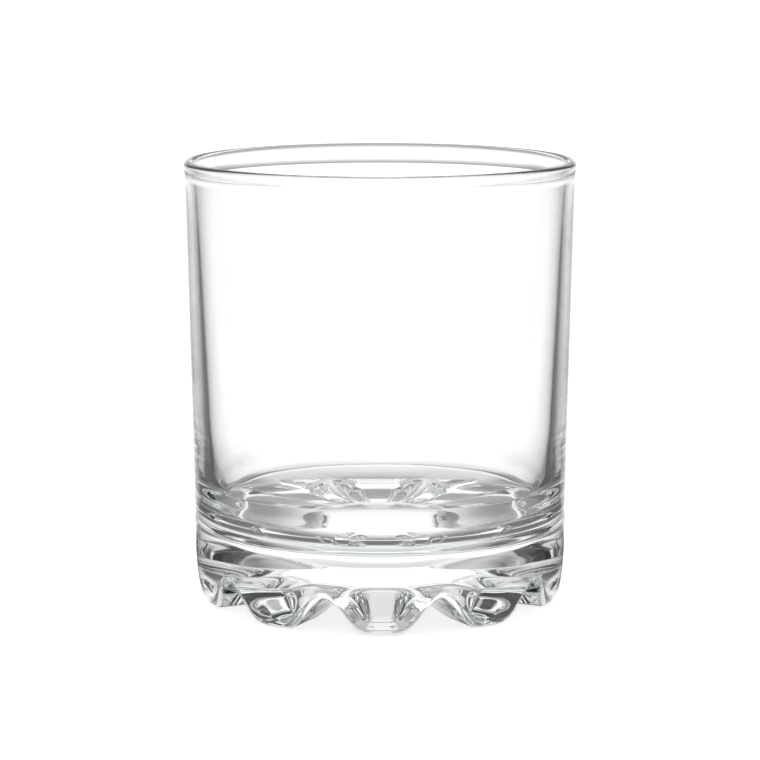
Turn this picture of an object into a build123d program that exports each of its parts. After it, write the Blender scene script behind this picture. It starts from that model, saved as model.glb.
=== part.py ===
from build123d import *
from math import cos, pi, radians, sin
import os

os.makedirs("parts", exist_ok=True)

# ---- Driving sizes, in mm -------------------------------------------------
# Outside
glass_height = 90.5          # standing plane to the top of the rim
rim_diameter = 80.0          # over the bead, the widest place
base_diameter = 76.7         # over the straight band above the feet
straight_band_top = 16.05    # the mould parting line, where the draft starts
straight_band_bottom = 12.0  # where the skirt starts to curve in
foot_inset = 1.15            # how far the skirt has curved in at the standing plane

# Rim
rim_thickness = 2.3          # the rim is a full round of this width
bead_depth = 0.28            # how far the bead stands out from the wall
bead_length = 2.0            # from the crease under the bead up to its widest place

# Mould parting line
seam_depth = 0.14            # how far the line stands out
seam_width = 0.8             # its height along the wall

# Wall thickness, measured level, from the rim down to the heel
wall_under_rim = 2.1
wall_upper = 2.44
wall_middle = 2.97
wall_lower = 3.44
wall_heel = 3.92

# Inside bottom
floor_height = 16.6          # standing plane to the edge of the inside floor
floor_dish = 1.2             # the floor is this much lower at its centre
heel_radius = 4.2            # rounding between wall and floor
heel_lean = 12.0             # degrees the wall leans in where the rounding starts
heel_inset = 1.4             # how far in the rounding starts, measured from the foot of the wall

# Underside
foot_count = 10
foot_flat_width = 5.0        # width of a foot at its outer end, before rounding
arch_height = 7.0            # top of the arch between two feet, at the skirt
arch_fall = 0.075            # drop of the arch per mm toward the centre
arch_flank_out = 0.47        # place of the flank, as a part of the arch's half width
arch_flank_up = 0.44         # height of the flank, as a part of the arch's height
arch_skirt_slope = 0.3       # rise per mm where the arch leaves the standing plane
edge_radius = 2.2            # rounding along the scalloped edge
hollow_rounding = 1.4        # rounding between the hollow's ceiling and its side
foot_contact_inner = 26.0    # radius where the feet start to lift toward the centre
foot_inner = 20.5            # radius where the feet end
foot_lift = 1.0              # how high a foot has lifted there
hollow_height = 6.2          # ceiling of the hollow under the centre
hollow_radius = 13.5         # radius where the ceiling meets the side of the hollow

# ---- Sizes that follow ----------------------------------------------------
rim_radius = rim_diameter / 2
base_radius = base_diameter / 2
rim_round = rim_thickness / 2
bead_height = glass_height - rim_round
crease_height = bead_height - bead_length
crease_radius = rim_radius - bead_depth
seam_top = straight_band_top + seam_width
wall_slope = (crease_radius - base_radius) / (crease_height - seam_top)
inside_depth = glass_height - floor_height
toe_radius = base_radius - foot_inset
heel_rise = heel_radius * (1 - sin(radians(heel_lean)))
heel_reach = heel_radius * cos(radians(heel_lean))
arch_start = 0.7 * foot_inner   # each arch starts inside the hollow
arch_end = base_radius + 6      # and runs out past the skirt
below = 0.6                     # the arch outline starts this far under the standing plane


def outside_radius(height):
    return base_radius + wall_slope * (height - seam_top)


def inside_point(height, thickness):
    return (outside_radius(height) - thickness, height)


def nearest_to_axis(edge):
    return min(Vector(point.X, point.Y, 0).length for point in (edge @ 0, edge @ 0.5, edge @ 1))


# Points down the inside wall, each at a set part of the inside depth
under_rim_point = inside_point(floor_height + 0.91 * inside_depth, wall_under_rim)
upper_point = inside_point(floor_height + 0.75 * inside_depth, wall_upper)
middle_point = inside_point(floor_height + 0.49 * inside_depth, wall_middle)
lower_point = inside_point(floor_height + 0.245 * inside_depth, wall_lower)
heel_point = inside_point(floor_height + 0.13 * inside_depth, wall_heel)
heel_start = (heel_point[0] - heel_inset, floor_height + heel_rise)
floor_edge = (heel_start[0] - heel_reach, floor_height)

# ---- Tumbler: one piece of pressed glass ----------------------------------
with BuildPart() as tumbler:
    # Half section, turned about the axis: hollow, standing ring, skirt, wall, rim and inside
    with BuildSketch(Plane.XZ):
        with BuildLine():
            Line((0, hollow_height), (hollow_radius, hollow_height))
            Line((hollow_radius, hollow_height), (foot_inner, foot_lift))
            Spline(
                (foot_inner, foot_lift),
                (foot_contact_inner, 0),
                tangents=[(1, -0.28), (1, 0)],
            )
            Line((foot_contact_inner, 0), (toe_radius, 0))
            TangentArc(
                (base_radius, straight_band_bottom),
                (toe_radius, 0),
                tangent=(0, -1),
                tangent_from_first=True,
            )
            Line((base_radius, straight_band_bottom), (base_radius, straight_band_top))
            ThreePointArc(
                (base_radius, straight_band_top),
                (base_radius + seam_depth, straight_band_top + seam_width / 2),
                (base_radius, seam_top),
            )
            Line((base_radius, seam_top), (crease_radius, crease_height))
            TangentArc(
                (rim_radius, bead_height),
                (crease_radius, crease_height),
                tangent=(0, -1),
                tangent_from_first=True,
            )
            TangentArc(
                (rim_radius, bead_height),
                (rim_radius - rim_thickness, bead_height),
                tangent=(0, 1),
            )
            Spline(
                (rim_radius - rim_thickness, bead_height),
                under_rim_point,
                upper_point,
                middle_point,
                lower_point,
                heel_point,
                heel_start,
                tangents=[(0, -1), (-sin(radians(heel_lean)), -cos(radians(heel_lean)))],
            )
            TangentArc(
                heel_start,
                floor_edge,
                tangent=(-sin(radians(heel_lean)), -cos(radians(heel_lean))),
            )
            Spline(
                floor_edge,
                (0, floor_height - floor_dish),
                tangents=[(-1, -0.02), (-1, 0)],
            )
            Line((0, floor_height - floor_dish), (0, hollow_height))
        make_face()
    revolve(axis=Axis.Z)

    # Side of the hollow: rounded into its ceiling
    fillet(
        tumbler.edges().filter_by(GeomType.CIRCLE).group_by(lambda e: abs(e.radius - hollow_radius))[0],
        radius=hollow_rounding,
    )

    # Arches between the feet: each narrows toward the centre and runs into the hollow
    for arch in range(foot_count):
        spoke = Plane.XZ.rotated((0, 0, 360 * (arch + 0.5) / foot_count))
        for distance in (arch_start, arch_end):
            half_width = distance * (pi / foot_count - foot_flat_width / 2 / toe_radius)
            height = arch_height - arch_fall * (base_radius - distance)
            out = half_width + below / arch_skirt_slope
            with BuildSketch(spoke.offset(distance)):
                with BuildLine():
                    Spline(
                        (-out, -below),
                        (-arch_flank_out * half_width, arch_flank_up * height),
                        (0, height),
                        (arch_flank_out * half_width, arch_flank_up * height),
                        (out, -below),
                        tangents=[(1, arch_skirt_slope), (1, -arch_skirt_slope)],
                    )
                    Polyline((out, -below), (out, -3), (-out, -3), (-out, -below))
                make_face()
        loft(ruled=True, mode=Mode.SUBTRACT)

    # Scalloped edge: one rounding that follows every foot and every arch of the skirt
    low_edges = tumbler.edges().filter_by(lambda edge: edge.bounding_box().max.Z < arch_height + 1)
    fillet(
        low_edges.filter_by(lambda edge: nearest_to_axis(edge) > toe_radius - foot_flat_width / 10),
        radius=edge_radius,
    )

tumbler.part.label = "tumbler"
export_step(tumbler.part, "parts/tumbler.step")
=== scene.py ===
import math

import bpy
import numpy as np
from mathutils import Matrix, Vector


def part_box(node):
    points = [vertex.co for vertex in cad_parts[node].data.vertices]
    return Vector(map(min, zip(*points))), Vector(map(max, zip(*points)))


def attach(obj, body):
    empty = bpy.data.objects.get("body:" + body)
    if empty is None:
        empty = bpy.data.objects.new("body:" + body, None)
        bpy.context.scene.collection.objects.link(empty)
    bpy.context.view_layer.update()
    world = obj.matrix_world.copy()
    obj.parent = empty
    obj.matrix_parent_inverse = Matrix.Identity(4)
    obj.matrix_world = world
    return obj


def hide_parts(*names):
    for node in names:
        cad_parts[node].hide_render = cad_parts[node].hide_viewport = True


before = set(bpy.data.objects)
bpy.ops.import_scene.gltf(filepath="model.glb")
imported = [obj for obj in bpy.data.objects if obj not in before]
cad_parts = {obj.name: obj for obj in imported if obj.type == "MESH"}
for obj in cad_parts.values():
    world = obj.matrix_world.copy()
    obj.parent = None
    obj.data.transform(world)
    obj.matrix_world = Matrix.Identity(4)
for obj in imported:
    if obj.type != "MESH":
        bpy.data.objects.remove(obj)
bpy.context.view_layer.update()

# Tumbler: one piece of clear soda-lime glass, pressed in a mould and fire-polished at the rim.
# It is one closed skin, ring by ring: from the middle of the inside floor up the wall, over the
# rim, down the outside, round the scalloped feet and in to the hollow. Its sizes are in mm.
low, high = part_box("tumbler")
rim_radius = (high.x - low.x) / 2 * 1000
height = (high.z - low.z) * 1000
around = 400                 # points in one ring
base_radius = 38.35          # straight band above the feet
seam_bottom = 16.05          # mould parting line
seam_height = 0.8
seam_depth = 0.14
rim_round = 1.15             # the rim is a full round
bead_depth = 0.28            # how far the bead under the rim stands out from the wall
bead_length = 2.0
wall_under_rim = 2.1         # wall thickness, 84 mm above the table
wall_growth = 0.026          # added per mm further down
heel_swell = 0.9             # added at the heel, 22 mm above the table, and fading upward
foot_count = 10
arch_height = 7.0            # top of the arch between two feet, at the skirt
arch_fall = 0.075            # drop of the arch per mm toward the centre
edge_radius = 2.2            # rounding along the scalloped edge
skirt_inset = 1.15           # how far the skirt has curved in at the table
skirt_top = 12.0             # where the skirt starts to curve in
foot_share = 0.17            # part of the way from foot to arch that stays flat on the table
wave_power = 1.4             # above 1, the wave is wider at the feet than at the arches
foot_lift = 1.0              # how high a foot lifts toward the centre
foot_lift_start = 28.0       # radius where it starts to lift
foot_lift_run = 9.0          # and how far in it has lifted fully
foot_inner = 21.0            # radius where the underside starts to rise into the hollow
hollow_radius = 12.0
hollow_height = 6.2          # ceiling of the hollow under the centre
floor_middle = 15.4          # inside floor at the centre, above the table

angle = np.linspace(0, 2 * math.pi, around, endpoint=False)
seam_top = seam_bottom + seam_height
top = height - rim_round     # centre of the rim's round
rings = []


def smooth(t):
    """Ease from 0 to 1, level at both ends."""
    t = np.clip(t, 0.0, 1.0)
    return t * t * (3.0 - 2.0 * t)


def ring(r, z):
    rings.append((np.broadcast_to(r, around), np.broadcast_to(z, around)))


def shares(count):
    """Equal steps from just above 0 up to 1."""
    return np.linspace(0, 1, count + 1)[1:]


def outside(z):
    slope = (rim_radius - bead_depth - base_radius) / (top - bead_length - seam_top)
    return base_radius + slope * (z - seam_top)


def inside(z):
    """The wall is thin under the rim, grows steadily downward, and swells at the heel."""
    steady = wall_under_rim + wall_growth * (84.0 - z)
    swell = heel_swell * np.exp(-(z - 22.0) / 4.0)
    thickness = steady + swell
    return outside(z) - thickness


# inside: a dished floor, a tight sweep at its edge, then the wall up to the rim, as one smooth curve
knots = [(0, floor_middle), (10, 15.5), (20, 15.9), (26.5, 16.4), (29.3, 16.75)]
knots += [(31.2, 17.5), (32.6, 18.8), (33.35, 20.3), (33.65, 22.0)]
knots += [(float(inside(z)), z) for z in (25.0, 29.0, 34.0, 41.0, 50.0, 62.0, 74.0, 83.0)]
knots += [(rim_radius - 2 * rim_round, top)]
knots = np.array(knots, float)
length = np.concatenate([[0], np.cumsum(np.hypot(*np.diff(knots, axis=0).T))])


def smooth_curve(s, known, start_slope):
    """Natural cubic spline through the knots, with a set slope at the axis."""
    n = len(length)
    h = np.diff(length)
    matrix = np.eye(n)
    target = np.zeros(n)
    step = np.diff(known) / h
    for i in range(1, n - 1):
        matrix[i, i - 1:i + 2] = h[i - 1], 2 * (h[i - 1] + h[i]), h[i]
        target[i] = 6 * (step[i] - step[i - 1])
    matrix[0, :2] = 2 * h[0], h[0]
    target[0] = 6 * (step[0] - start_slope)
    bend = np.linalg.solve(matrix, target)
    k = np.clip(np.searchsorted(length, s) - 1, 0, n - 2)
    a = (length[k + 1] - s) / h[k]
    b = (s - length[k]) / h[k]
    curve = ((a ** 3 - a) * bend[k] + (b ** 3 - b) * bend[k + 1]) * h[k] ** 2 / 6
    return a * known[k] + b * known[k + 1] + curve


# rings lie closest together round the heel, where the curve is tightest
floor_stations = np.linspace(0.7, 24, 16)
heel_stations = np.linspace(25, 44, 34)
wall_stations = np.linspace(45, length[-1], 50)
stations = np.concatenate([floor_stations, heel_stations, wall_stations])
for r, z in zip(smooth_curve(stations, knots[:, 0], 1.0), smooth_curve(stations, knots[:, 1], 0.0)):
    ring(r, z)
# rim: a full round
for t in shares(16):
    a = math.pi * t
    ring(rim_radius - rim_round - rim_round * math.cos(a), top + rim_round * math.sin(a))
# bead: swells out of the wall just under the rim
for t in shares(7):
    ring(rim_radius - bead_depth * smooth(t), top - bead_length * t)
# outside wall
for t in shares(33):
    z = (top - bead_length) + (seam_top - top + bead_length) * t
    ring(outside(z), z)
# mould parting line
for t in shares(8):
    ring(base_radius + seam_depth * math.sin(math.pi * t), seam_bottom + seam_height * (1 - t))

# feet: the edge's height above the table follows a wave, 0 on a foot and 1 on an arch
from_foot = np.abs((angle / (2 * math.pi) * foot_count + 0.5 * foot_count) % 1.0 - 0.5) * 2
wave = smooth((from_foot - foot_share) / (1 - foot_share)) ** wave_power
edge = arch_height * wave


def skirt(z):
    return base_radius - skirt_inset * np.clip((skirt_top - z) / skirt_top, 0, 1) ** 2


def underside(r):
    lift = foot_lift * smooth((foot_lift_start - r) / foot_lift_run)
    arch = arch_height - arch_fall * (base_radius - r)
    floor = lift + (arch - lift) * wave
    into = smooth((foot_inner - r) / (foot_inner - hollow_radius))
    return floor + (hollow_height - floor) * into


for t in shares(14):
    z = seam_bottom + (edge + edge_radius - seam_bottom) * t
    ring(skirt(z), z)
corner = skirt(edge + edge_radius) - edge_radius
for t in shares(12):
    a = math.pi / 2 * t
    ring(corner + edge_radius * math.cos(a), edge + edge_radius * (1 - math.sin(a)))
# underside of the feet and arches, running in to the hollow and its ceiling
for t in shares(41):
    r = corner + (hollow_radius - corner) * t
    ring(r, underside(r))
for t in np.linspace(1, 0.04, 8)[1:]:
    ring(hollow_radius * t, hollow_height)

count = len(rings)
points = np.zeros((count * around + 2, 3))
for i, (r, z) in enumerate(rings):
    row = slice(i * around, (i + 1) * around)
    points[row, 0] = r * np.cos(angle)
    points[row, 1] = r * np.sin(angle)
    points[row, 2] = z
points[-2] = (0, 0, floor_middle)
points[-1] = (0, 0, hollow_height)
points /= 1000.0


def grid_quads(rows, columns, closed=True):
    """Faces between neighbouring rows of a grid whose columns may close on themselves."""
    quads = []
    for i in range(rows - 1):
        for j in range(columns if closed else columns - 1):
            k = (j + 1) % columns
            quads.append((i * columns + j, (i + 1) * columns + j, (i + 1) * columns + k, i * columns + k))
    return quads


faces = grid_quads(count, around)
for j in range(around):
    k = (j + 1) % around
    faces.append((count * around, j, k))
    faces.append((count * around + 1, (count - 1) * around + k, (count - 1) * around + j))
mesh = bpy.data.meshes.new("tumbler_glass")
mesh.from_pydata(points.tolist(), [], faces)
mesh.validate()
mesh.update()
mesh.shade_smooth()
tumbler = bpy.data.objects.new("tumbler_glass", mesh)
bpy.context.scene.collection.objects.link(tumbler)

glass = bpy.data.materials.new("clear_glass")
glass.use_nodes = True
nodes, links = glass.node_tree.nodes, glass.node_tree.links
shader = nodes["Principled BSDF"]
shader.inputs["Base Color"].default_value = (1.0, 1.0, 1.0, 1.0)
shader.inputs["Roughness"].default_value = 0.0
shader.inputs["IOR"].default_value = 1.52
shader.inputs["Transmission Weight"].default_value = 1.0
# faint level ripples left by the mould
place = nodes.new("ShaderNodeTexCoord")
stretch = nodes.new("ShaderNodeMapping")
stretch.inputs["Scale"].default_value = (28.0, 28.0, 190.0)
links.new(place.outputs["Object"], stretch.inputs["Vector"])
ripple = nodes.new("ShaderNodeTexNoise")
ripple.inputs["Scale"].default_value = 1.0
ripple.inputs["Detail"].default_value = 1.5
links.new(stretch.outputs["Vector"], ripple.inputs["Vector"])
bump = nodes.new("ShaderNodeBump")
bump.inputs["Strength"].default_value = 0.5
bump.inputs["Distance"].default_value = 0.00003
links.new(ripple.outputs["Fac"], bump.inputs["Height"])
links.new(bump.outputs["Normal"], shader.inputs["Normal"])
# a little wear where the feet stand
parts_of = nodes.new("ShaderNodeSeparateXYZ")
links.new(place.outputs["Object"], parts_of.inputs["Vector"])
contact = nodes.new("ShaderNodeMapRange")
contact.inputs["From Min"].default_value = 0.00035
contact.inputs["From Max"].default_value = 0.0
contact.inputs["To Max"].default_value = 0.3
links.new(parts_of.outputs["Z"], contact.inputs["Value"])
scuff = nodes.new("ShaderNodeTexNoise")
scuff.inputs["Scale"].default_value = 900.0
links.new(place.outputs["Object"], scuff.inputs["Vector"])
wear = nodes.new("ShaderNodeMath")
wear.operation = "MULTIPLY"
links.new(contact.outputs["Result"], wear.inputs[0])
links.new(scuff.outputs["Fac"], wear.inputs[1])
links.new(wear.outputs["Value"], shader.inputs["Roughness"])
# the trace of grey-green that thick glass shows
absorb = nodes.new("ShaderNodeVolumeAbsorption")
absorb.inputs["Color"].default_value = (0.82, 0.92, 0.90, 1.0)
absorb.inputs["Density"].default_value = 4.0
links.new(absorb.outputs["Volume"], nodes["Material Output"].inputs["Volume"])
mesh.materials.append(glass)
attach(tumbler, "root")
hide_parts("tumbler")

# Camera: a long lens a little above the rim, looking down at the glass.
# It stands slightly to the left of the front, and its lens has no blur and no shift.
turned = math.radians(0.9)
looking_down = math.radians(9.82)
reach = 0.543                # level distance from the glass's axis, in metres
camera_height = 0.1387
camera_data = bpy.data.cameras.new("camera")
camera_data.lens = 126.24
camera_data.sensor_width = 36.0
camera = bpy.data.objects.new("camera", camera_data)
bpy.context.scene.collection.objects.link(camera)
camera.location = (-reach * math.sin(turned), -reach * math.cos(turned), camera_height)
camera.rotation_euler = (math.radians(90) - looking_down, 0, -turned)
bpy.context.scene.camera = camera

# Room: even white light from all round, as in a white studio.
# It is also the plain backdrop above the table's far edge.
world = bpy.data.worlds.new("studio")
world.use_nodes = True
world.node_tree.nodes["Background"].inputs["Color"].default_value = (1.0, 1.0, 1.0, 1.0)
world.node_tree.nodes["Background"].inputs["Strength"].default_value = 1.2
bpy.context.scene.world = world

# Table: a broad pale sheet under the glass, lit by the room and mostly from within.
# It glows as a light table does, so that the glass stands on white with hardly a shadow.
half_table = 6               # metres
table_corners = [
    (-half_table, -half_table, 0),
    (half_table, -half_table, 0),
    (half_table, half_table, 0),
    (-half_table, half_table, 0),
]
sheet = bpy.data.meshes.new("table")
sheet.from_pydata(table_corners, [], [(0, 1, 2, 3)])
table = bpy.data.objects.new("table", sheet)
bpy.context.scene.collection.objects.link(table)
pale = bpy.data.materials.new("pale_table")
pale.use_nodes = True
pale_shader = pale.node_tree.nodes["Principled BSDF"]
pale_shader.inputs["Base Color"].default_value = (0.36, 0.36, 0.36, 1.0)
pale_shader.inputs["Roughness"].default_value = 1.0
pale_shader.inputs["Specular IOR Level"].default_value = 0.0
pale_shader.inputs["Emission Color"].default_value = (1.0, 1.0, 1.0, 1.0)
pale_shader.inputs["Emission Strength"].default_value = 0.78
sheet.materials.append(pale)

# Tent: a dome of glowing card round the glass, which shows only through the glass and in it.
# Straight behind it is bright, a dark band on each side draws the outlines, and it is darker
# higher up. Like every card it stands still in the room. Card sizes are in metres.
tent_radius = 0.42
tent_gap = 0.0005            # the dome's lower edge stands this far over the table


def glowing(name, corners, quads, brightness):
    """A card whose light is set corner by corner, hidden from the camera's direct view."""
    card = bpy.data.meshes.new(name)
    card.from_pydata(corners, [], quads)
    glow = card.color_attributes.new("glow", "FLOAT_COLOR", "POINT")
    for i, b in enumerate(brightness):
        glow.data[i].color = (b, b, b, 1.0)
    paint = bpy.data.materials.new(name)
    paint.use_nodes = True
    tree = paint.node_tree
    tree.nodes.remove(tree.nodes["Principled BSDF"])
    emit = tree.nodes.new("ShaderNodeEmission")
    colour = tree.nodes.new("ShaderNodeVertexColor")
    colour.layer_name = "glow"
    tree.links.new(colour.outputs["Color"], emit.inputs["Color"])
    tree.links.new(emit.outputs["Emission"], tree.nodes["Material Output"].inputs["Surface"])
    card.materials.append(paint)
    item = bpy.data.objects.new(name, card)
    bpy.context.scene.collection.objects.link(item)
    item.visible_camera = False
    item.visible_diffuse = False
    item.visible_shadow = False
    item.visible_volume_scatter = False
    item.rotation_euler.z = -turned


def mix(first, second, share):
    return first * (1 - share) + second * share


# brightness against degrees round from straight behind the glass, in three bands of height
low_band = [
    (0, 1.2), (14, 1.17), (19, 1.12), (23, 1.05), (28, 0.9), (33, 0.72), (38, 0.5),
    (43, 0.12), (49, 0.05), (57, 0.3), (75, 0.85), (95, 1.1), (180, 1.1),
]
middle_band = [
    (0, 1.2), (12, 1.15), (20, 1.05), (28, 0.85), (36, 0.65), (44, 0.5),
    (46.5, 0.03), (60, 0.03), (78, 0.8), (95, 1.05), (180, 1.0),
]
upper_band = [(0, 1.0), (22, 0.85), (36, 0.45), (50, 0.6), (70, 0.12), (100, 0.04), (180, 0.03)]
overhead = 0.75


def along(stops, where):
    """Brightness at a place between listed stops."""
    return float(np.interp(where, *zip(*stops)))


def card_brightness(azimuth, elevation):
    a = abs(azimuth)
    value = mix(along(low_band, a), along(middle_band, a), smooth((elevation - 3.0) / 4.0))
    value = value * (1 - 0.5 * smooth((elevation - 15.0) / 4.0))
    value = mix(value, along(upper_band, a), smooth((elevation - 22.0) / 5.0))
    return float(mix(value, overhead, smooth((elevation - 58.0) / 10.0)))


corners, brightness = [], []
azimuths = np.arange(-180, 180, 1.5)
elevations = np.concatenate([np.arange(0, 24, 1.5), np.arange(24, 90.1, 3)])
for elevation in elevations:
    for azimuth in azimuths:
        a = math.radians(azimuth)
        e = math.radians(elevation)
        out = tent_radius * math.cos(e)
        corners.append((out * math.sin(a), out * math.cos(a), tent_gap + tent_radius * math.sin(e)))
        brightness.append(card_brightness(azimuth, elevation))
glowing("tent", corners, grid_quads(len(elevations), len(azimuths)), brightness)


# Veil: a thin glowing sheet just over the table, from the glass out to the tent.
# It darkens the table to both sides behind the glass and leaves it bright in front; close to the glass
# the darkening is painted shade.
veil_height = 0.0003
viewpoint = 0.047            # far out it matches the tent, as seen from this far before the axis
narrowing = 1.14             # with its bands this much narrower


def flat_card(name, radii, turns, height_above, brightness_at, closed=True):
    """A level glowing sheet of rings; turns are degrees round from straight behind the glass."""
    corners, brightness = [], []
    for r in radii:
        for t in turns:
            x = r * math.sin(math.radians(t))
            y = r * math.cos(math.radians(t))
            corners.append((x, y, height_above))
            brightness.append(brightness_at(float(r), float(t)))
    glowing(name, corners, grid_quads(len(radii), len(turns), closed), brightness)


def veil_brightness(r, t):
    side = abs(t)
    x = r * math.sin(math.radians(t))
    y = r * math.cos(math.radians(t))
    seen = math.degrees(math.atan2(abs(x), y + viewpoint)) * narrowing
    far = card_brightness(seen, 0)
    near = along([(0, 1.15), (30, 1.05), (44, 0.75), (50, 0.12), (65, 0.05), (100, 0.05)], side)
    # painted shade: the table is darker close behind and beside the glass
    straight = along([(38.6, 0.2), (40, 0.42), (46, 0.6), (60, 0.78), (75, 0.92), (90, 1.0)], r * 1000)
    aside = along([(38.6, 0.12), (50, 0.14), (58, 0.3), (68, 1.0)], r * 1000)
    near *= mix(straight, aside, float(smooth((side - 28) / 9)))
    behind = mix(near, far, float(smooth((r - 0.08) / 0.09)))
    front = 1.15
    return mix(behind, front, float(smooth((side - 80) / 40)))


near_radii = np.linspace(0.0386, 0.062, 12)
middle_radii = np.linspace(0.066, 0.12, 8)
far_radii = np.linspace(0.14, 0.43, 12)
veil_radii = np.concatenate([near_radii, middle_radii, far_radii])
flat_card("veil", veil_radii, np.arange(-180, 180, 2.0), veil_height, veil_brightness)

# Under card: a round glowing sheet on the table below the glass, a painted shadow with a painted pool of
# light.
# It is bright in the middle, where light gathers through the base, and dark under the ring of feet, where
# the glass's shadow falls.
under_height = 0.00015


def painted_shadow_and_light(r, t):
    # painted light in the middle, painted shadow under the ring of feet
    stops = [(0, 1.12), (13, 1.1), (17, 0.85), (21, 0.45), (26, 0.16), (33, 0.14), (36, 0.3)]
    return along(stops, r * 1000)


under_radii = np.linspace(0.0004, 0.036, 30)
flat_card("painted_shadow_and_light_card", under_radii, np.arange(-180, 180, 6.0), under_height, painted_shadow_and_light)

# Rim card: a narrow level ring of grey card behind and beside the glass, just below the rim.
# It draws the dark line along the back of the rim and fades to white toward its ends.
rim_card_height = 0.086


def rim_brightness(r, t):
    grey = along([(0.042, 0.3), (0.052, 1.0)], r)
    return mix(grey, 1.1, float(smooth((abs(t) - 60) / 50)))


rim_radii = np.linspace(0.0415, 0.052, 6)
flat_card("rim_card", rim_radii, np.arange(-120, 121, 3.0), rim_card_height, rim_brightness, closed=False)

# Light paths: light crosses the thick base many times before it leaves the glass.
# A path that is cut short shows as black, so the limits are high.
scene = bpy.context.scene
scene.cycles.max_bounces = 24
scene.cycles.transmission_bounces = 20
scene.cycles.glossy_bounces = 16
scene.cycles.transparent_max_bounces = 16
scene.view_settings.view_transform = "Standard"
